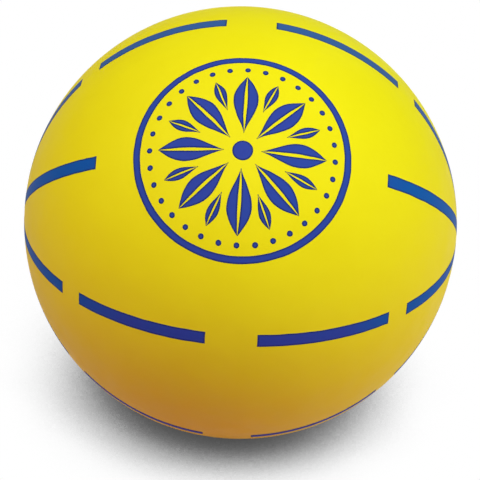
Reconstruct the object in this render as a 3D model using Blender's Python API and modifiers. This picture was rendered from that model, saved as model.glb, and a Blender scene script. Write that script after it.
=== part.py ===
"""Mini basketball: a seamless rotomoulded skin of soft PVC, a push-in needle valve and printed panel lines.

Metres, +Z up. The origin is the ball's centre. The print axis, which the meridians of all panel lines share,
is X, and it leaves the ball through the valve at +X. The emblem's place looks forward (-Y) and up.
"""

import math

import bmesh
import bpy
from mathutils import Matrix

# Ball: 697 mm round, as a size 5 ball is, with the wall that gives it its 450 g
BALL_DIAMETER = 0.222
WALL = 0.0025
EMBLEM_LIFT = math.radians(45)

# Printed panel lines, with lengths and gaps measured along the skin
MERIDIANS = 8
LINE_WIDTH = 0.0065
UPPER_LINE_WIDTH = 0.0082
UPPER_MERIDIANS = 3
EQUATOR_GAP = 0.0242
LINE_GAP = 0.0125
POLE_GAP = 0.013
EMBLEM_CLEARING = 0.147
INK_THICKNESS = 0.0002
INK_CLEARANCE = 0.0002

# Well that the valve lies in, below the ball's round
WELL_DEPTH = 0.0012
WELL_FLOOR = 0.0008
WELL_SLOPE = 0.0012

# Valve core: a rubber plug with a needle channel that ends in a slit
HEAD_DIAMETER = 0.0085
HEAD_THICKNESS = 0.0018
HEAD_ROUND = 0.0004
STEM_DIAMETER = 0.0055
BARB = 0.0015
BULB_LENGTH = 0.008
NEEDLE_CHANNEL = 0.0018
FUNNEL_DIAMETER = 0.0034
FUNNEL_DEPTH = 0.0012
SLIT_LENGTH = 0.004
SLIT_SPAN = 0.0026
SLIT_WIDTH = 0.0004
TIP_WALL = 0.0007

# Valve seat: a sleeve moulded into the skin's boss and held there by its anchor flange
SEAT_RIM = 0.0015
SEAT_BORE_LENGTH = 0.0105
ANCHOR_REACH = 0.0034
ANCHOR_THICKNESS = 0.0016
ANCHOR_COVER = 0.004
ANCHOR_BACKING = 0.004
BOSS_WALL = 0.003
BOSS_FILLET = 0.004
BOSS_ROUND = 0.001
FIT_CLEARANCE = 0.0003

# Facets
SKIN_STEPS = 48
VALVE_STEPS = 32
QUARTER_SEGMENTS = 16
INSIDE_SEGMENTS = 32
FILLET_SEGMENTS = 4
ROUND_SEGMENTS = 2
LINE_SEGMENTS = 8
MERGE_DISTANCE = 0.00001
SHARP_ANGLE = math.radians(35)

# Places that follow from the sizes: radii about the print axis, and heights along it from the ball's centre
BALL_RADIUS = BALL_DIAMETER / 2
INSIDE_RADIUS = BALL_RADIUS - WALL
VALVE_FACE = BALL_RADIUS - WELL_DEPTH
HEAD_RADIUS = HEAD_DIAMETER / 2
HEAD_BACK = VALVE_FACE - HEAD_THICKNESS
STEM_RADIUS = STEM_DIAMETER / 2
SEAT_RADIUS = HEAD_RADIUS + FIT_CLEARANCE + SEAT_RIM
SEAT_END = HEAD_BACK - FIT_CLEARANCE - SEAT_BORE_LENGTH
ANCHOR_RADIUS = SEAT_RADIUS + ANCHOR_REACH
ANCHOR_FRONT = VALVE_FACE - ANCHOR_COVER
ANCHOR_BACK = ANCHOR_FRONT - ANCHOR_THICKNESS
BOSS_BORE = SEAT_RADIUS + FIT_CLEARANCE
BOSS_RADIUS = ANCHOR_RADIUS + FIT_CLEARANCE + BOSS_WALL
BOSS_END = ANCHOR_BACK - FIT_CLEARANCE - ANCHOR_BACKING
BULB_FRONT = SEAT_END - FIT_CLEARANCE
TIP_END = BULB_FRONT - BULB_LENGTH
CHANNEL_END = TIP_END + SLIT_LENGTH

# Finishes
SKIN_YELLOW = (0.88, 0.8, 0.005)
LINE_BLUE = (0.026, 0.075, 0.34)
SEAT_WHITE = (0.78, 0.77, 0.72)
CORE_BLACK = (0.018, 0.018, 0.019)
SKIN_ROUGHNESS = 0.55
INK_ROUGHNESS = 0.5
SEAT_ROUGHNESS = 0.5
CORE_ROUGHNESS = 0.6


def clear_scene():
    for obj in list(bpy.data.objects):
        bpy.data.objects.remove(obj)


def new_collection(name):
    made = bpy.data.collections.new(name)
    bpy.context.scene.collection.children.link(made)
    return made


def new_material(name, colour, roughness):
    made = bpy.data.materials.new(name)
    made.use_nodes = True
    made.diffuse_color = (*colour, 1)
    shader = made.node_tree.nodes["Principled BSDF"]
    shader.inputs["Base Color"].default_value = (*colour, 1)
    shader.inputs["Roughness"].default_value = roughness
    shader.inputs["Metallic"].default_value = 0
    return made


def arc(centre, radius, start, end, segments):
    """Points (radius, height) along a circle, from one angle to another, both ends included."""
    angles = [start + (end - start) * i / segments for i in range(segments + 1)]
    return [(centre[0] + radius * math.cos(a), centre[1] + radius * math.sin(a)) for a in angles]


def settle(obj):
    """Makes the modifiers' result the object's own mesh, shaded smooth but for its sharp edges."""
    graph = bpy.context.evaluated_depsgraph_get()
    mesh = bpy.data.meshes.new_from_object(obj.evaluated_get(graph))
    obj.modifiers.clear()
    obj.data = mesh
    mesh.shade_smooth()
    mesh.set_sharp_from_angle(angle=SHARP_ANGLE)


def add_piece(name, mesh, axis, collection):
    piece = bpy.data.objects.new(name, mesh)
    piece.parent = axis
    collection.objects.link(piece)
    return piece


def add_turned(name, profile, closed, steps, material, axis, collection):
    """A solid turned about the print axis from points (radius, height), up inside and down outside."""
    count = len(profile)
    edges = [(i, i + 1) for i in range(count - 1)]
    if closed:
        edges.append((count - 1, 0))
    mesh = bpy.data.meshes.new(name)
    mesh.from_pydata([(radius, 0, height) for radius, height in profile], edges, [])
    mesh.materials.append(material)
    piece = add_piece(name, mesh, axis, collection)
    screw = piece.modifiers.new("Turn", "SCREW")
    screw.steps = steps
    screw.render_steps = steps
    screw.use_merge_vertices = True
    screw.merge_threshold = MERGE_DISTANCE
    settle(piece)
    return piece


def boss_outline():
    """From the skin's inside, round a hollow fillet, along the boss and over its rounded end to the bore."""
    reach = BOSS_RADIUS + BOSS_FILLET
    height = math.sqrt((INSIDE_RADIUS - BOSS_FILLET) ** 2 - reach**2)
    fillet = arc((reach, height), BOSS_FILLET, math.atan2(height, reach), math.pi, FILLET_SEGMENTS)
    corner = (BOSS_RADIUS - BOSS_ROUND, BOSS_END + BOSS_ROUND)
    rounded_end = arc(corner, BOSS_ROUND, 0, -math.pi / 2, ROUND_SEGMENTS)
    return fillet + rounded_end


def skin_profile():
    boss = boss_outline()
    inside_end = math.atan2(boss[0][1], boss[0][0])
    inside = arc((0, 0), INSIDE_RADIUS, -math.pi / 2, inside_end, INSIDE_SEGMENTS)[:-1]
    groove = ANCHOR_RADIUS + FIT_CLEARANCE
    bore = [
        (BOSS_BORE, BOSS_END),
        (BOSS_BORE, ANCHOR_BACK - FIT_CLEARANCE),
        (groove, ANCHOR_BACK - FIT_CLEARANCE),
        (groove, ANCHOR_FRONT + FIT_CLEARANCE),
        (BOSS_BORE, ANCHOR_FRONT + FIT_CLEARANCE),
        (BOSS_BORE, VALVE_FACE),
    ]
    floor_edge = BOSS_BORE + WELL_FLOOR
    mouth = math.acos((floor_edge + WELL_SLOPE) / BALL_RADIUS)
    near_half = arc((0, 0), BALL_RADIUS, mouth, 0, QUARTER_SEGMENTS)
    far_half = arc((0, 0), BALL_RADIUS, 0, -math.pi / 2, QUARTER_SEGMENTS)[1:]
    return inside + boss + bore + [(floor_edge, VALVE_FACE)] + near_half + far_half


def seat_profile():
    stem_bore = STEM_RADIUS + FIT_CLEARANCE
    head_bore = HEAD_RADIUS + FIT_CLEARANCE
    shoulder = HEAD_BACK - FIT_CLEARANCE
    return [
        (stem_bore, SEAT_END),
        (stem_bore, shoulder),
        (head_bore, shoulder),
        (head_bore, VALVE_FACE),
        (SEAT_RADIUS, VALVE_FACE),
        (SEAT_RADIUS, ANCHOR_FRONT),
        (ANCHOR_RADIUS, ANCHOR_FRONT),
        (ANCHOR_RADIUS, ANCHOR_BACK),
        (SEAT_RADIUS, ANCHOR_BACK),
        (SEAT_RADIUS, SEAT_END),
    ]


def core_profile():
    channel = NEEDLE_CHANNEL / 2
    tip = SLIT_SPAN / 2 + TIP_WALL
    head_corner = (HEAD_RADIUS - HEAD_ROUND, VALVE_FACE - HEAD_ROUND)
    needle_way = [
        (0, CHANNEL_END),
        (channel, CHANNEL_END),
        (channel, VALVE_FACE - FUNNEL_DEPTH),
        (FUNNEL_DIAMETER / 2, VALVE_FACE),
    ]
    head = arc(head_corner, HEAD_ROUND, math.pi / 2, 0, ROUND_SEGMENTS) + [(HEAD_RADIUS, HEAD_BACK)]
    stem = [
        (STEM_RADIUS, HEAD_BACK),
        (STEM_RADIUS, BULB_FRONT),
        (STEM_RADIUS + BARB, BULB_FRONT),
        (STEM_RADIUS + BARB, BULB_FRONT - BARB),
    ]
    return needle_way + head + stem + [(tip, TIP_END), (0, TIP_END)]


def cut_slit(core, axis, cutters):
    """The slit that the air pressure closes: from inside the needle channel out through the tip."""
    reach = SLIT_LENGTH / 2
    mesh = bpy.data.meshes.new("slit_cutter")
    bm = bmesh.new()
    bmesh.ops.create_cube(bm, size=1)
    bmesh.ops.scale(bm, verts=bm.verts, vec=(SLIT_SPAN, SLIT_WIDTH, SLIT_LENGTH + 2 * reach))
    bmesh.ops.translate(bm, verts=bm.verts, vec=(0, 0, (CHANNEL_END + TIP_END) / 2))
    bm.to_mesh(mesh)
    bm.free()
    cutter = add_piece("slit_cutter", mesh, axis, cutters)
    cutter.hide_render = True
    cutter.display_type = "WIRE"
    cut = core.modifiers.new("Slit", "BOOLEAN")
    cut.operation = "DIFFERENCE"
    cut.solver = "EXACT"
    cut.object = cutter


def line_mesh(name, start, end, width, material, axis, collection):
    """A film of ink along the meridian of the emblem, between two distances from the equator along the skin.

    Its facets' middles, not only its corners, keep INK_CLEARANCE from the ball's round.
    """
    half_step = (end - start) / BALL_RADIUS / LINE_SEGMENTS / 2
    half_width = width / BALL_RADIUS / 2
    radius = (BALL_RADIUS + INK_CLEARANCE) / (math.cos(half_step) * math.cos(half_width))
    bm = bmesh.new()
    bmesh.ops.create_grid(bm, x_segments=LINE_SEGMENTS, y_segments=1, size=0.5)
    for vert in bm.verts:
        latitude = (end + (vert.co.x + 0.5) * (start - end)) / BALL_RADIUS
        aside = 2 * vert.co.y * half_width
        along = radius * math.cos(aside)
        vert.co = (along * math.cos(latitude), radius * math.sin(aside), along * math.sin(latitude))
    mesh = bpy.data.meshes.new(name)
    bm.to_mesh(mesh)
    bm.free()
    mesh.materials.append(material)
    film = add_piece(name, mesh, axis, collection)
    solidify = film.modifiers.new("Ink", "SOLIDIFY")
    solidify.thickness = INK_THICKNESS
    solidify.offset = 1
    settle(film)
    made = film.data
    bpy.data.objects.remove(film)
    return made


def add_line(name, mesh, meridian, side, axis, collection):
    """One printed line, turned from the emblem's meridian to its own, on the valve's side or the far side."""
    line = add_piece(name, mesh, axis, collection)
    flip = 0 if side == "right" else math.pi
    line.rotation_euler = (flip, 0, meridian * 2 * math.pi / MERIDIANS)


def add_lines(material, axis, collection):
    """Two lines on the emblem's meridian and four on each other one. Those above the emblem are wider."""
    quarter = math.pi / 2 * BALL_RADIUS
    first = EQUATOR_GAP / 2
    last = quarter - POLE_GAP
    length = (last - first - LINE_GAP) / 2
    ink = (material, axis, collection)
    emblem = line_mesh("emblem_line", EMBLEM_CLEARING / 2, last, LINE_WIDTH, *ink)
    for side in ("right", "left"):
        add_line(f"emblem_line_{side}", emblem, 0, side, axis, collection)
    for meridian in range(1, MERIDIANS):
        above = meridian >= MERIDIANS - UPPER_MERIDIANS
        width = UPPER_LINE_WIDTH if above else LINE_WIDTH
        inner = line_mesh("inner_line", first, first + length, width, *ink)
        outer = line_mesh("outer_line", last - length, last, width, *ink)
        for side in ("right", "left"):
            add_line(f"panel_line_{meridian}_inner_{side}", inner, meridian, side, axis, collection)
            add_line(f"panel_line_{meridian}_outer_{side}", outer, meridian, side, axis, collection)


def add_print_axis(collection):
    """An empty at the ball's centre: its Z runs along the print axis and its X through the emblem's place."""
    axis = bpy.data.objects.new("print_axis", None)
    along_x = Matrix.Rotation(math.pi / 2, 4, "Y")
    emblem_up = Matrix.Rotation(-math.pi / 2 - EMBLEM_LIFT, 4, "X")
    axis.matrix_basis = emblem_up @ along_x
    collection.objects.link(axis)
    return axis


def main():
    clear_scene()
    ball = new_collection("mini_basketball")
    cutters = new_collection("cutters")
    axis = add_print_axis(ball)
    skin_pvc = new_material("skin_pvc", SKIN_YELLOW, SKIN_ROUGHNESS)
    line_ink = new_material("line_ink", LINE_BLUE, INK_ROUGHNESS)
    seat_pvc = new_material("seat_pvc", SEAT_WHITE, SEAT_ROUGHNESS)
    core_rubber = new_material("core_rubber", CORE_BLACK, CORE_ROUGHNESS)
    add_turned("skin", skin_profile(), False, SKIN_STEPS, skin_pvc, axis, ball)
    add_turned("valve_seat", seat_profile(), True, VALVE_STEPS, seat_pvc, axis, ball)
    core = add_turned("valve_core", core_profile(), False, VALVE_STEPS, core_rubber, axis, ball)
    cut_slit(core, axis, cutters)
    add_lines(line_ink, axis, ball)


main()
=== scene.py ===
"""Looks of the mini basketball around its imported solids: skin, printed lines, rosette and needle valve.

Metres, +Z up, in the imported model's frame: the origin is the ball's centre, the print axis is X, and the
valve lies at its +X end. The rosette looks forward (-Y) and up.
"""

import math

import bmesh
import bpy
from mathutils import Euler, Matrix, Vector, noise
from mathutils.kdtree import KDTree


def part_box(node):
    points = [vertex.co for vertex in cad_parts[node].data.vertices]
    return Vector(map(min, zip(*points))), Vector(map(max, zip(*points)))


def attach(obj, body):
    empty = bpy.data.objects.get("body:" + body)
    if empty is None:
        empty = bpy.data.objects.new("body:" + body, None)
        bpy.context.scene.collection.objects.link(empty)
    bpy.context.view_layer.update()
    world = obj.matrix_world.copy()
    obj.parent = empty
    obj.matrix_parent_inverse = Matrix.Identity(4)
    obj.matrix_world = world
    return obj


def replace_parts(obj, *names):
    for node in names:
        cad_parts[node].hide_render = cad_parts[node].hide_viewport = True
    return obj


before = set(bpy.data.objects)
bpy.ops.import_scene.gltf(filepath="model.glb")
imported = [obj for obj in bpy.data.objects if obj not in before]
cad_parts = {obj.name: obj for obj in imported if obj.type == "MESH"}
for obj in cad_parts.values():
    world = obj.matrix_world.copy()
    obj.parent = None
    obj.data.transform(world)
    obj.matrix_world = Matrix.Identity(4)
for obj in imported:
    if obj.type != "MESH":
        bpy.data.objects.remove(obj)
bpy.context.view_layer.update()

# Camera, as the photograph was taken
CAMERA_AZIMUTH = math.radians(0.67)
CAMERA_ELEVATION = math.radians(29.16)
CAMERA_DISTANCE = 0.8654
CAMERA_ROLL = math.radians(3.23)
CAMERA_PITCH = math.radians(-0.589)
CAMERA_YAW = math.radians(0.017)
FOCAL_LENGTH_MM = 125.43
SENSOR_WIDTH_MM = 36

# Ball and valve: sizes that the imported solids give, then those that lie inside them
BALL_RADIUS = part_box("skin")[1].z
VALVE_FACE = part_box("valve_seat")[1].x
SEAT_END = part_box("valve_seat")[0].x
ANCHOR_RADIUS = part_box("valve_seat")[1].z
HEAD_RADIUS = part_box("valve_core")[1].z
TIP_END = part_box("valve_core")[0].x
WALL = 0.0025
SEAT_RIM = 0.0015
ANCHOR_COVER = 0.004
ANCHOR_THICKNESS = 0.0016
BOSS_WALL = 0.003
BOSS_FILLET = 0.004
BOSS_BACKING = 0.004
WELL_FLOOR = 0.0008
WELL_SLOPE = 0.0012
HEAD_THICKNESS = 0.0018
HEAD_LIP = 0.0009
HEAD_DISH = 0.00035
STEM_RADIUS = 0.00275
BARB = 0.0015
CHANNEL_RADIUS = 0.0009
FUNNEL_RADIUS = 0.0017
FUNNEL_DEPTH = 0.0012
SLIT_LENGTH = 0.004
SLIT_SPAN = 0.0026
SLIT_WIDTH = 0.0004
TIP_RADIUS = 0.002
FIT_GAP = 0.00006
MOULDED_ROUND = 0.0003

# Ink: a film that lies on the skin and is rooted in it
INK_LIFT = 0.00006
INK_EDGE_LIFT = 0.000015
INK_DEPTH = 0.00012
INK_WANDER = 0.00016
INK_WANDER_LENGTH = 0.005
INK_WANDER_SEED = 1
EDGE_ATTRIBUTE = "edge_distance"

# Rosette, with distances measured along the skin from its centre
ROSETTE_LIFT = math.radians(46.4)
ROSETTE_RADIUS = 0.0522
RING_WIDTH = 0.0036
BEADS = 32
BEAD_CIRCLE = 0.0438
BEAD_RADIUS = 0.0014
PETALS = 8
PETAL_START = 0.0085
PETAL_END = 0.0395
PETAL_HALF_WIDTH = 0.0058
PETAL_VEIN = 0.0007
LEAF_START = 0.0215
LEAF_END = 0.0385
LEAF_HALF_WIDTH = 0.0027
LEAF_VEIN = 0.00035
VEIN_GAP = 0.00005
BLADE_SKEW = 1.25
HEART_RADIUS = 0.0048

# Fineness of the meshes
SKIN_STEPS = 192
SKIN_SEGMENTS = 128
INSIDE_SEGMENTS = 64
VALVE_STEPS = 96
CORNER_SEGMENTS = 5
FILLET_SEGMENTS = 12
LINE_ROWS = 48
FILM_COLUMNS = 8
RING_ROWS = 192
PETAL_ROWS = 40
BEAD_ROWS = 4
BEAD_COLUMNS = 24
HEART_COLUMNS = 48
MERGE_DISTANCE = 0.000002
SHARP_ANGLE = math.radians(40)

# Finishes: colours along a noise, patterns in cells per metre, ranges of roughness, and depths of relief
NOISE_MIDDLE = (0.25, 0.75)
SKIN_YELLOWS = [(0.3, (0.87, 0.785, 0.003)), (0.7, (0.89, 0.815, 0.005))]
SKIN_CLOUDS = 26
SKIN_RUBBING = 90
SKIN_ROUGHNESS = (0.54, 0.66)
SKIN_WAVES = 70
SKIN_WAVE_DEPTH = 0.0004
SKIN_PEEL = 1100
SKIN_PEEL_DEPTH = 0.00003
SKIN_GLOSS = 0.3
SEAT_WHITES = [(0.3, (0.79, 0.78, 0.72)), (0.7, (0.74, 0.71, 0.6))]
SEAT_AGEING = 400
SEAT_ROUGHNESS = (0.45, 0.58)
SEAT_GRAIN = 2600
SEAT_GRAIN_DEPTH = 0.00002
RUBBER_BLACKS = [(0.35, (0.012, 0.012, 0.013)), (0.75, (0.04, 0.04, 0.042))]
RUBBER_BLOOM = 900
RUBBER_ROUGHNESS = (0.5, 0.75)
RUBBER_GRAIN = 3500
RUBBER_GRAIN_DEPTH = 0.00003

# Ink's finish: blues of a full and a thin coat, where it thins aside, a paler, greener blue towards the top
# and back that is a painted sheen, and navy edges
INK_BLUES = [(0, (0.036, 0.066, 0.36)), (1, (0.006, 0.112, 0.39))]
INK_COAT = 30
INK_COAT_PLAY = (0, 0.4)
INK_THINS_ASIDE = (0.052, 0.078)
INK_THINNESS = (-0.1, 0.8)
# Painted sheen on the ink: where along Y it sets in towards the top and back, and the paler blue that it
# paints
INK_PAINTED_SHEEN_SPAN = (-0.03, -0.005)
INK_PAINTED_SHEEN_BLUE = (0.041, 0.125, 0.33)
INK_COVER = 500
INK_MOTTLING = (0, 0.2)
INK_MOTTLED_BLUE = (0.015, 0.03, 0.25)
INK_EDGE_WIDTH = 0.001
INK_EDGE_SHARE = 0.95
INK_EDGE_NAVY = (0.008, 0.02, 0.09)
INK_ROUGHNESS = (0.62, 0.5)
INK_GRAIN = 1800
INK_GRAIN_DEPTH = 0.00002
INK_GLOSS = 0.06

# Studio: softboxes as azimuth and elevation in degrees, brightness on a white face, and tint
SOFTBOX_DISTANCE = 1.2
SOFTBOX_SIZE = 1.07
SOFTBOXES = {
    "key": (30, 60, 0.55, (0.875, 1, 1)),
    "right": (75, 20, 0.525, (0.98, 1, 0.96)),
    "left": (-60, 50, 0.645, (1, 0.86, 0.88)),
    "back": (180, 20, 0.3, (0.98, 1, 0.9)),
}
FLOOR_SIZE = 8
FLOOR_BOUNCE = (0.57, 0.18, 0.42)
ROOM_FILL = 0.03
MIRRORED_SKY = [(0, 0.3), (0.2, 0.05)]
WHITE = (1, 1, 1)

# Shadow: greys along the share of sky that the ball leaves open, felt round a lean and within a reach
SHADOW_GREYS = [(0, 0.02), (0.3, 0.075), (0.38, 0.125), (0.46, 0.3), (0.54, 0.66), (0.6, 0.9), (0.67, 1)]
SHADOW_LEAN = (0.09, -0.4, 0.98)
SHADOW_REACH = 0.6

# Print frame: its axis, straight out of the rosette and up it, and the turn from Z to the axis
PRINT_AXIS = Vector((1, 0, 0))
ROSETTE_OUT = Vector((0, -math.cos(ROSETTE_LIFT), math.sin(ROSETTE_LIFT)))
ROSETTE_UP = ROSETTE_OUT.cross(PRINT_AXIS)
TO_PRINT_AXIS = Matrix.Rotation(math.pi / 2, 4, "Y")


def add_object(name, mesh, material):
    """A piece of the ball that rides on its one body."""
    piece = bpy.data.objects.new(name, mesh)
    bpy.context.scene.collection.objects.link(piece)
    mesh.materials.append(material)
    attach(piece, "root")
    return piece


# Turned pieces

def arc(centre, radius, start, end, segments):
    """Points (radius, height) along a circle, from one angle to another, both ends included."""
    angles = [start + (end - start) * i / segments for i in range(segments + 1)]
    return [(centre[0] + radius * math.cos(a), centre[1] + radius * math.sin(a)) for a in angles]


def rounded(before, corner, after, reach):
    """The corner between two straight runs as a smooth bend that starts and ends at reach from it."""
    before, corner, after = Vector(before), Vector(corner), Vector(after)
    start = corner + (before - corner).normalized() * reach
    end = corner + (after - corner).normalized() * reach
    steps = [i / CORNER_SEGMENTS for i in range(CORNER_SEGMENTS + 1)]
    return [tuple(start * (1 - t) ** 2 + corner * 2 * t * (1 - t) + end * t**2) for t in steps]


def rounded_profile(points, reach):
    """A run of (radius, height) points whose corners, all but the two end points, are rounded."""
    profile = [points[0]]
    for before, corner, after in zip(points, points[1:], points[2:]):
        room = min((Vector(before) - Vector(corner)).length, (Vector(after) - Vector(corner)).length) / 2
        profile += rounded(before, corner, after, min(reach, room))
    return profile + [points[-1]]


def turned_mesh(name, profile, closed, steps):
    """A mesh turned about the print axis from (radius, height) points, up inside and down outside."""
    count = len(profile)
    edges = [(i, i + 1) for i in range(count - 1)]
    if closed:
        edges.append((count - 1, 0))
    outline = bpy.data.meshes.new(name)
    outline.from_pydata([(radius, 0, height) for radius, height in profile], edges, [])
    lathe = bpy.data.objects.new(name, outline)
    bpy.context.scene.collection.objects.link(lathe)
    screw = lathe.modifiers.new("Turn", "SCREW")
    screw.steps = steps
    screw.render_steps = steps
    screw.use_merge_vertices = True
    screw.merge_threshold = MERGE_DISTANCE
    graph = bpy.context.evaluated_depsgraph_get()
    mesh = bpy.data.meshes.new_from_object(lathe.evaluated_get(graph))
    bpy.data.objects.remove(lathe)
    mesh.name = name
    mesh.transform(TO_PRINT_AXIS)
    mesh.shade_smooth()
    mesh.set_sharp_from_angle(angle=SHARP_ANGLE)
    return mesh


def skin_profile():
    """The wall: up its inside, over the boss, through the valve's bore and well, and down its outside."""
    inside = BALL_RADIUS - WALL
    bore = HEAD_RADIUS + SEAT_RIM + 2 * MOULDED_ROUND
    groove = ANCHOR_RADIUS + MOULDED_ROUND
    boss = groove + BOSS_WALL
    groove_front = VALVE_FACE - ANCHOR_COVER + MOULDED_ROUND
    groove_back = groove_front - ANCHOR_THICKNESS - 2 * MOULDED_ROUND
    boss_end = groove_back - BOSS_BACKING
    well_floor = bore + WELL_FLOOR
    mouth = well_floor + WELL_SLOPE
    foot = boss + BOSS_FILLET
    height = math.sqrt((inside - BOSS_FILLET) ** 2 - foot**2)
    foot_angle = math.atan2(height, foot)
    inner_arc = arc((0, 0), inside, -math.pi / 2, foot_angle, INSIDE_SEGMENTS)
    fillet = arc((foot, height), BOSS_FILLET, foot_angle, math.pi, FILLET_SEGMENTS)
    mouth_angle = math.acos(mouth / BALL_RADIUS)
    outer_arc = arc((0, 0), BALL_RADIUS, mouth_angle, -math.pi / 2, SKIN_SEGMENTS)
    valve_way = [
        fillet[-1],
        (boss, boss_end),
        (bore, boss_end),
        (bore, groove_back),
        (groove, groove_back),
        (groove, groove_front),
        (bore, groove_front),
        (bore, VALVE_FACE),
        (well_floor, VALVE_FACE),
        outer_arc[0],
        outer_arc[1],
    ]
    return inner_arc + fillet[1:-1] + rounded_profile(valve_way, MOULDED_ROUND) + outer_arc[2:]


def add_skin(material):
    """The inflated wall, in one piece, with the valve's boss on its inside."""
    mesh = turned_mesh("ball_skin", skin_profile(), False, SKIN_STEPS)
    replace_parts(add_object("ball_skin", mesh, material), "skin")


def add_valve_seat(material):
    """The sleeve: its rim shows in the well, its anchor flange lies in the boss."""
    shoulder = VALVE_FACE - HEAD_THICKNESS - FIT_GAP
    stem_bore = STEM_RADIUS + FIT_GAP
    head_bore = HEAD_RADIUS + FIT_GAP
    sleeve = HEAD_RADIUS + SEAT_RIM + 2 * MOULDED_ROUND - FIT_GAP
    anchor_front = VALVE_FACE - ANCHOR_COVER
    anchor_back = anchor_front - ANCHOR_THICKNESS
    bore_middle = (stem_bore, (shoulder + SEAT_END) / 2)
    corners = [
        bore_middle,
        (stem_bore, shoulder),
        (head_bore, shoulder),
        (head_bore, VALVE_FACE),
        (sleeve, VALVE_FACE),
        (sleeve, anchor_front),
        (ANCHOR_RADIUS, anchor_front),
        (ANCHOR_RADIUS, anchor_back),
        (sleeve, anchor_back),
        (sleeve, SEAT_END),
        (stem_bore, SEAT_END),
        bore_middle,
    ]
    profile = rounded_profile(corners, MOULDED_ROUND)[:-1]
    mesh = turned_mesh("valve_sleeve", profile, True, VALVE_STEPS)
    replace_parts(add_object("valve_sleeve", mesh, material), "valve_seat")


def cut_slit(plug):
    """The slit that the air pressure closes, from the needle channel out through the plug's tip."""
    mesh = bpy.data.meshes.new("slit")
    bm = bmesh.new()
    bmesh.ops.create_cube(bm, size=1)
    bmesh.ops.scale(bm, verts=bm.verts, vec=(SLIT_SPAN, SLIT_WIDTH, 2 * SLIT_LENGTH))
    bmesh.ops.translate(bm, verts=bm.verts, vec=(0, 0, TIP_END + SLIT_LENGTH / 2))
    bm.transform(TO_PRINT_AXIS)
    bm.to_mesh(mesh)
    bm.free()
    cutter = bpy.data.objects.new("slit", mesh)
    bpy.context.scene.collection.objects.link(cutter)
    cut = plug.modifiers.new("Slit", "BOOLEAN")
    cut.solver = "EXACT"
    cut.object = cutter
    graph = bpy.context.evaluated_depsgraph_get()
    plug.data = bpy.data.meshes.new_from_object(plug.evaluated_get(graph))
    plug.modifiers.clear()
    bpy.data.objects.remove(cutter)


def add_valve_core(material):
    """The plug: a dished head with the needle's funnel and channel, a stem, and a closed, barbed bulb."""
    channel_end = TIP_END + SLIT_LENGTH
    head_back = VALVE_FACE - HEAD_THICKNESS
    bulb_front = SEAT_END - FIT_GAP
    bulb = STEM_RADIUS + BARB
    corners = [
        (0, channel_end),
        (CHANNEL_RADIUS, channel_end),
        (CHANNEL_RADIUS, VALVE_FACE - HEAD_DISH - FUNNEL_DEPTH),
        (FUNNEL_RADIUS, VALVE_FACE - HEAD_DISH),
        (HEAD_RADIUS - HEAD_LIP, VALVE_FACE),
        (HEAD_RADIUS, VALVE_FACE),
        (HEAD_RADIUS, head_back),
        (STEM_RADIUS, head_back),
        (STEM_RADIUS, bulb_front),
        (bulb, bulb_front),
        (bulb, bulb_front - BARB),
        (TIP_RADIUS, TIP_END),
        (0, TIP_END),
    ]
    mesh = turned_mesh("valve_plug", rounded_profile(corners, MOULDED_ROUND), False, VALVE_STEPS)
    plug = add_object("valve_plug", mesh, material)
    cut_slit(plug)
    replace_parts(plug, "valve_core")


# Printed pieces

def crowded(t):
    """A share from 0 to 1, with its steps crowded towards both ends."""
    return (1 - math.cos(math.pi * t)) / 2


def wandered(aim):
    """A direction as a printing pad leaves it, a hair away from where it should be."""
    drift = noise.noise_vector(aim * (BALL_RADIUS / INK_WANDER_LENGTH))
    return (aim + drift * (INK_WANDER / BALL_RADIUS)).normalized()


def add_sheet(bm, rows, columns, place):
    """A flat sheet of ink on the skin: a grid whose shares u and v become directions by place(u, v)."""
    made = bmesh.ops.create_grid(bm, x_segments=rows, y_segments=columns, size=0.5)
    for vert in made["verts"]:
        vert.co = wandered(place(vert.co.x + 0.5, vert.co.y + 0.5)) * BALL_RADIUS


def film_mesh(name, sheets):
    """Sheets of ink as films that thin out at their edges, with their points' distances from the edge."""
    bm = bmesh.new()
    for rows, columns, place in sheets:
        add_sheet(bm, rows, columns, place)
    bmesh.ops.remove_doubles(bm, verts=bm.verts, dist=MERGE_DISTANCE)
    bmesh.ops.dissolve_degenerate(bm, edges=bm.edges, dist=MERGE_DISTANCE)
    for face in bm.faces:
        if face.normal.dot(face.calc_center_median()) < 0:
            face.normal_flip()
    distance = bm.verts.layers.float.new(EDGE_ATTRIBUTE)
    rim = [vert for vert in bm.verts if vert.is_boundary]
    tree = KDTree(len(rim))
    for i, vert in enumerate(rim):
        tree.insert(vert.co, i)
    tree.balance()
    for vert in bm.verts:
        vert[distance] = tree.find(vert.co)[2]
        lift = INK_EDGE_LIFT if vert.is_boundary else INK_LIFT
        vert.co = vert.co.normalized() * (BALL_RADIUS + lift)
    mesh = bpy.data.meshes.new(name)
    bm.to_mesh(mesh)
    bm.free()
    mesh.shade_smooth()
    return mesh


def add_print(name, sheets, material):
    """A printed piece: a closed film that is rooted in the skin."""
    film = add_object(name, film_mesh(name, sheets), material)
    root = film.modifiers.new("Root", "SOLIDIFY")
    root.thickness = INK_DEPTH
    root.offset = -1
    return film


def line_place(node):
    """A printed line's sheet, between the ends and sides that its solid has."""
    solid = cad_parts[node]
    directions = [(solid.matrix_world @ vert.co).normalized() for vert in solid.data.vertices]
    middle = sum(directions, Vector())
    out = Vector((0, middle.y, middle.z)).normalized()
    across = PRINT_AXIS.cross(out)
    latitudes = [math.atan2(d.x, d.dot(out)) for d in directions]
    half_width = max(math.asin(d.dot(across)) for d in directions)
    start, end = min(latitudes), max(latitudes)

    def place(u, v):
        latitude = start + (end - start) * crowded(u)
        aside = half_width * (2 * crowded(v) - 1)
        along = PRINT_AXIS * math.sin(latitude) + out * math.cos(latitude)
        return along * math.cos(aside) + across * math.sin(aside)

    return place


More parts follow.
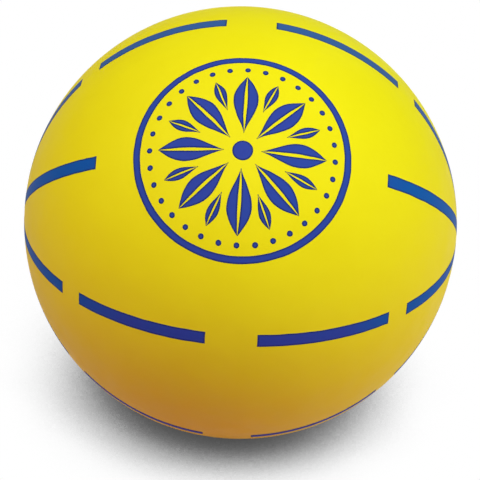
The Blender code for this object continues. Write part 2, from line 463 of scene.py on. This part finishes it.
def add_lines(material):
    """The panel lines, one film for each solid."""
    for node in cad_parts:
        if "_line_" in node:
            sheet = (LINE_ROWS, FILM_COLUMNS, line_place(node))
            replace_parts(add_print(f"{node}_print", [sheet], material), node)


def on_rosette(forward, aside, bearing):
    """The direction of a point, forward along a bearing from the rosette's centre and aside of it."""
    distance = math.hypot(forward, aside)
    turn = bearing + math.atan2(aside, forward)
    angle = distance / BALL_RADIUS
    across = ROSETTE_UP * math.cos(turn) + PRINT_AXIS * math.sin(turn)
    return ROSETTE_OUT * math.cos(angle) + across * math.sin(angle)


def ring_place(inner, outer):
    """The rosette's ring: u runs round it, v runs out across it."""

    def place(u, v):
        return on_rosette(inner + (outer - inner) * crowded(v), 0, 2 * math.pi * u)

    return place


def disc_place(distance, bearing, radius):
    """A round dot at a distance from the rosette's centre: u runs out from the middle, v runs round."""

    def place(u, v):
        reach = radius * math.sin(math.pi / 2 * u)
        turn = 2 * math.pi * v
        return on_rosette(distance + reach * math.cos(turn), reach * math.sin(turn), bearing)

    return place


def blade_place(start, end, half_width, vein, bearing, side):
    """One half of a pointed leaf, from its vein to its rim. Its points keep clear of the other half."""

    def place(u, v):
        share = crowded(u)
        rim = half_width * math.sin(math.pi * share**BLADE_SKEW)
        inner = vein * math.sin(math.pi * share)
        aside = VEIN_GAP + inner + (rim - inner) * crowded(v)
        return on_rosette(start + (end - start) * share, side * aside, bearing)

    return place


def blades(first_bearing, start, end, half_width, vein):
    """The sheets of a whorl of leaves, two halves each."""
    sheets = []
    for i in range(PETALS):
        bearing = first_bearing + 2 * math.pi * i / PETALS
        for side in (-1, 1):
            place = blade_place(start, end, half_width, vein, bearing, side)
            sheets.append((PETAL_ROWS, FILM_COLUMNS, place))
    return sheets


def add_rosette(material):
    """A plain rosette: a ring, a circle of beads, petals with leaves between them, and a heart."""
    ring = (RING_ROWS, FILM_COLUMNS, ring_place(ROSETTE_RADIUS - RING_WIDTH, ROSETTE_RADIUS))
    petals = blades(0, PETAL_START, PETAL_END, PETAL_HALF_WIDTH, PETAL_VEIN)
    leaves = blades(math.pi / PETALS, LEAF_START, LEAF_END, LEAF_HALF_WIDTH, LEAF_VEIN)
    turns = [2 * math.pi * i / BEADS for i in range(BEADS)]
    beads = [(BEAD_ROWS, BEAD_COLUMNS, disc_place(BEAD_CIRCLE, turn, BEAD_RADIUS)) for turn in turns]
    heart = (BEAD_ROWS, HEART_COLUMNS, disc_place(0, 0, HEART_RADIUS))
    add_print("rosette_ring", [ring], material)
    add_print("rosette_petals", petals, material)
    add_print("rosette_leaves", leaves, material)
    add_print("rosette_beads", beads, material)
    add_print("rosette_heart", [heart], material)


# Materials

def new_material(name):
    """A material with its node tree and its Principled BSDF."""
    material = bpy.data.materials.new(name)
    material.use_nodes = True
    tree = material.node_tree
    return material, tree, tree.nodes["Principled BSDF"]


def add_noise(tree, scale, detail, roughness=0.5):
    """Noise that is fixed to the object, with scale in cells per metre."""
    place = tree.nodes.new("ShaderNodeTexCoord")
    node = tree.nodes.new("ShaderNodeTexNoise")
    node.inputs["Scale"].default_value = scale
    node.inputs["Detail"].default_value = detail
    node.inputs["Roughness"].default_value = roughness
    tree.links.new(place.outputs["Object"], node.inputs["Vector"])
    return node.outputs["Fac"]


def add_ramp(tree, value, stops):
    """Colours along a value: stops are pairs of a place and a colour."""
    node = tree.nodes.new("ShaderNodeValToRGB")
    ramp = node.color_ramp
    while len(ramp.elements) < len(stops):
        ramp.elements.new(0.5)
    for element, (position, colour) in zip(ramp.elements, stops):
        element.position = position
        element.color = (*colour, 1)
    tree.links.new(value, node.inputs["Fac"])
    return node.outputs["Color"]


def add_grey_ramp(tree, value, stops):
    """Greys along a value: stops are pairs of a place and a brightness."""
    return add_ramp(tree, value, [(place, (grey, grey, grey)) for place, grey in stops])


def add_span(tree, value, low_high, to_low_high):
    """A value moved from one range to another, and held at the other's ends."""
    node = tree.nodes.new("ShaderNodeMapRange")
    numbers = (*low_high, *to_low_high)
    for name, number in zip(("From Min", "From Max", "To Min", "To Max"), numbers):
        node.inputs[name].default_value = number
    tree.links.new(value, node.inputs["Value"])
    return node.outputs["Result"]


def add_math(tree, operation, value, other=None):
    """One linked value, or two, put through an operation."""
    node = tree.nodes.new("ShaderNodeMath")
    node.operation = operation
    tree.links.new(value, node.inputs[0])
    if other:
        tree.links.new(other, node.inputs[1])
    return node.outputs["Value"]


def add_mix(tree, share, colour, other):
    """A linked colour that turns to another, fixed one by a share."""
    node = tree.nodes.new("ShaderNodeMix")
    node.data_type = "RGBA"
    tree.links.new(share, node.inputs["Factor"])
    tree.links.new(colour, node.inputs["A"])
    node.inputs["B"].default_value = (*other, 1)
    return node.outputs["Result"]


def add_shader_mix(tree, share, shader, other):
    """A shader that turns to another by a share."""
    node = tree.nodes.new("ShaderNodeMixShader")
    tree.links.new(share, node.inputs["Fac"])
    tree.links.new(shader, node.inputs[1])
    tree.links.new(other, node.inputs[2])
    return node.outputs["Shader"]


def add_bump(tree, height, distance, under=None):
    """Relief of a height value, distance metres deep, on top of another relief if one is given."""
    node = tree.nodes.new("ShaderNodeBump")
    node.inputs["Distance"].default_value = distance
    tree.links.new(height, node.inputs["Height"])
    if under:
        tree.links.new(under, node.inputs["Normal"])
    return node.outputs["Normal"]


def finish(tree, shader, colour, roughness_noise, roughness, relief):
    """Links a colour, a roughness that follows the middle of a noise, and a relief to a shader."""
    tree.links.new(colour, shader.inputs["Base Color"])
    rough = add_span(tree, roughness_noise, NOISE_MIDDLE, roughness)
    tree.links.new(rough, shader.inputs["Roughness"])
    tree.links.new(relief, shader.inputs["Normal"])


def skin_material():
    """Soft PVC: an even yellow with faint clouds of pigment, a slight orange peel and rubbed patches."""
    material, tree, shader = new_material("skin_pvc")
    clouds = add_noise(tree, SKIN_CLOUDS, detail=4, roughness=0.6)
    colour = add_ramp(tree, clouds, SKIN_YELLOWS)
    rubbed = add_noise(tree, SKIN_RUBBING, detail=6, roughness=0.65)
    waves = add_bump(tree, add_noise(tree, SKIN_WAVES, detail=2), SKIN_WAVE_DEPTH)
    peel = add_bump(tree, add_noise(tree, SKIN_PEEL, detail=2), SKIN_PEEL_DEPTH, waves)
    finish(tree, shader, colour, rubbed, SKIN_ROUGHNESS, peel)
    shader.inputs["Specular IOR Level"].default_value = SKIN_GLOSS
    return material


def ink_material():
    """Printing ink: violet blue, greener where thin and at the sides, navy at its edges, and a painted
    sheen of paler, greener blue towards the top and back.
    """
    material, tree, shader = new_material("line_ink")
    place = tree.nodes.new("ShaderNodeTexCoord")
    axes = tree.nodes.new("ShaderNodeSeparateXYZ")
    tree.links.new(place.outputs["Object"], axes.inputs["Vector"])
    aside = add_math(tree, "ABSOLUTE", axes.outputs["X"])
    thinness = add_span(tree, aside, INK_THINS_ASIDE, INK_THINNESS)
    coat = add_span(tree, add_noise(tree, INK_COAT, detail=3), NOISE_MIDDLE, INK_COAT_PLAY)
    blue = add_ramp(tree, add_math(tree, "ADD", thinness, coat), INK_BLUES)
    # Painted sheen: towards the top and back the blue turns paler and greener, standing in for the ink's
    # sheen at grazing angles
    behind = add_span(tree, axes.outputs["Y"], INK_PAINTED_SHEEN_SPAN, (0, 1))
    with_painted_sheen = add_mix(tree, behind, blue, INK_PAINTED_SHEEN_BLUE)
    cover = add_noise(tree, INK_COVER, detail=5, roughness=0.7)
    mottled = add_mix(tree, add_span(tree, cover, NOISE_MIDDLE, INK_MOTTLING), with_painted_sheen, INK_MOTTLED_BLUE)
    edge = tree.nodes.new("ShaderNodeAttribute")
    edge.attribute_name = EDGE_ATTRIBUTE
    squeeze = add_span(tree, edge.outputs["Fac"], (0, INK_EDGE_WIDTH), (INK_EDGE_SHARE, 0))
    colour = add_mix(tree, squeeze, mottled, INK_EDGE_NAVY)
    grain = add_bump(tree, add_noise(tree, INK_GRAIN, detail=3), INK_GRAIN_DEPTH)
    finish(tree, shader, colour, cover, INK_ROUGHNESS, grain)
    shader.inputs["Specular IOR Level"].default_value = INK_GLOSS
    return material


def seat_material():
    """Off-white PVC that has yellowed a little, with a dull moulded face."""
    material, tree, shader = new_material("seat_pvc")
    age = add_noise(tree, SEAT_AGEING, detail=4, roughness=0.6)
    grain = add_bump(tree, add_noise(tree, SEAT_GRAIN, detail=3), SEAT_GRAIN_DEPTH)
    finish(tree, shader, add_ramp(tree, age, SEAT_WHITES), age, SEAT_ROUGHNESS, grain)
    return material


def rubber_material():
    """Black rubber with a grey bloom."""
    material, tree, shader = new_material("core_rubber")
    bloom = add_noise(tree, RUBBER_BLOOM, detail=5, roughness=0.7)
    grain = add_bump(tree, add_noise(tree, RUBBER_GRAIN, detail=3), RUBBER_GRAIN_DEPTH)
    finish(tree, shader, add_ramp(tree, bloom, RUBBER_BLACKS), bloom, RUBBER_ROUGHNESS, grain)
    return material


# Studio

def add_seen_share(tree):
    """1 for rays from the camera, mirrors and glass, 0 for rays that carry light between surfaces."""
    path = tree.nodes.new("ShaderNodeLightPath")
    total = path.outputs["Is Camera Ray"]
    for ray in ("Is Glossy Ray", "Is Transmission Ray"):
        total = add_math(tree, "MAXIMUM", total, path.outputs[ray])
    return total


def add_floor():
    """A plain white floor with the ball's soft shadow, clear from below. It throws back dim, warm light."""
    bpy.ops.mesh.primitive_plane_add(size=FLOOR_SIZE, location=(0, 0, -BALL_RADIUS))
    floor = bpy.context.object
    floor.name = "floor"
    material, tree, shader = new_material("floor_white")
    tree.nodes.remove(shader)
    lean = tree.nodes.new("ShaderNodeCombineXYZ")
    for socket, value in zip(lean.inputs, SHADOW_LEAN):
        socket.default_value = value
    open_sky = tree.nodes.new("ShaderNodeAmbientOcclusion")
    open_sky.inputs["Distance"].default_value = SHADOW_REACH
    tree.links.new(lean.outputs["Vector"], open_sky.inputs["Normal"])
    seen = tree.nodes.new("ShaderNodeEmission")
    tree.links.new(add_grey_ramp(tree, open_sky.outputs["AO"], SHADOW_GREYS), seen.inputs["Color"])
    thrown = tree.nodes.new("ShaderNodeBsdfDiffuse")
    thrown.inputs["Color"].default_value = (*FLOOR_BOUNCE, 1)
    upper = add_shader_mix(tree, add_seen_share(tree), thrown.outputs["BSDF"], seen.outputs["Emission"])
    side = tree.nodes.new("ShaderNodeNewGeometry")
    clear = tree.nodes.new("ShaderNodeBsdfTransparent")
    one_sided = add_shader_mix(tree, side.outputs["Backfacing"], upper, clear.outputs["BSDF"])
    tree.links.new(one_sided, tree.nodes["Material Output"].inputs["Surface"])
    material.cycles.emission_sampling = "NONE"
    floor.data.materials.append(material)


def add_world():
    """White behind the ball, a grey to dark sky for mirrored rays, and a faint fill for all other light."""
    world = bpy.data.worlds.new("studio")
    world.use_nodes = True
    tree = world.node_tree
    place = tree.nodes.new("ShaderNodeTexCoord")
    axes = tree.nodes.new("ShaderNodeSeparateXYZ")
    tree.links.new(place.outputs["Generated"], axes.inputs["Vector"])
    sky = add_grey_ramp(tree, axes.outputs["Z"], MIRRORED_SKY)
    path = tree.nodes.new("ShaderNodeLightPath")
    seen = tree.nodes["Background"]
    tree.links.new(add_mix(tree, path.outputs["Is Camera Ray"], sky, WHITE), seen.inputs["Color"])
    fill = tree.nodes.new("ShaderNodeBackground")
    fill.inputs["Color"].default_value = (ROOM_FILL, ROOM_FILL, ROOM_FILL, 1)
    backdrop = seen.outputs["Background"]
    shown = add_shader_mix(tree, add_seen_share(tree), fill.outputs["Background"], backdrop)
    tree.links.new(shown, tree.nodes["World Output"].inputs["Surface"])
    world.cycles.sampling_method = "NONE"
    bpy.context.scene.world = world


def direction(azimuth, elevation):
    """Straight out from the ball's centre. Azimuth 0 is the side that the photograph shows."""
    level = math.cos(elevation)
    return Vector((math.sin(azimuth) * level, -math.cos(azimuth) * level, math.sin(elevation)))


def add_softbox(name, azimuth, elevation, brightness, tint):
    """A square lamp that looks at the ball. Only its light shows, not the lamp."""
    towards = direction(math.radians(azimuth), math.radians(elevation))
    data = bpy.data.lights.new(name, "AREA")
    data.size = SOFTBOX_SIZE
    data.color = tint
    data.energy = brightness * (math.pi * SOFTBOX_DISTANCE) ** 2
    lamp = bpy.data.objects.new(name, data)
    lamp.location = towards * SOFTBOX_DISTANCE
    lamp.rotation_euler = (-towards).to_track_quat("-Z", "Y").to_euler()
    lamp.visible_camera = False
    lamp.visible_glossy = False
    bpy.context.scene.collection.objects.link(lamp)


def add_camera():
    """The photograph's camera, aimed a little off the ball's centre."""
    data = bpy.data.cameras.new("camera")
    data.lens = FOCAL_LENGTH_MM
    data.sensor_width = SENSOR_WIDTH_MM
    camera = bpy.data.objects.new("camera", data)
    back = direction(CAMERA_AZIMUTH, CAMERA_ELEVATION)
    camera.location = back * CAMERA_DISTANCE
    camera.rotation_mode = "QUATERNION"
    turn = Matrix.Rotation(CAMERA_ROLL, 3, "Z") @ Euler((CAMERA_PITCH, CAMERA_YAW, 0)).to_matrix()
    camera.rotation_quaternion = (-back).to_track_quat("-Z", "Y") @ turn.to_quaternion()
    bpy.context.scene.collection.objects.link(camera)
    bpy.context.scene.camera = camera


def main():
    bpy.context.scene.view_settings.view_transform = "Standard"
    noise.seed_set(INK_WANDER_SEED)
    add_camera()
    ink = ink_material()
    add_skin(skin_material())
    add_valve_seat(seat_material())
    add_valve_core(rubber_material())
    add_lines(ink)
    add_rosette(ink)
    add_floor()
    add_world()
    for name, setting in SOFTBOXES.items():
        add_softbox(name, *setting)


main()
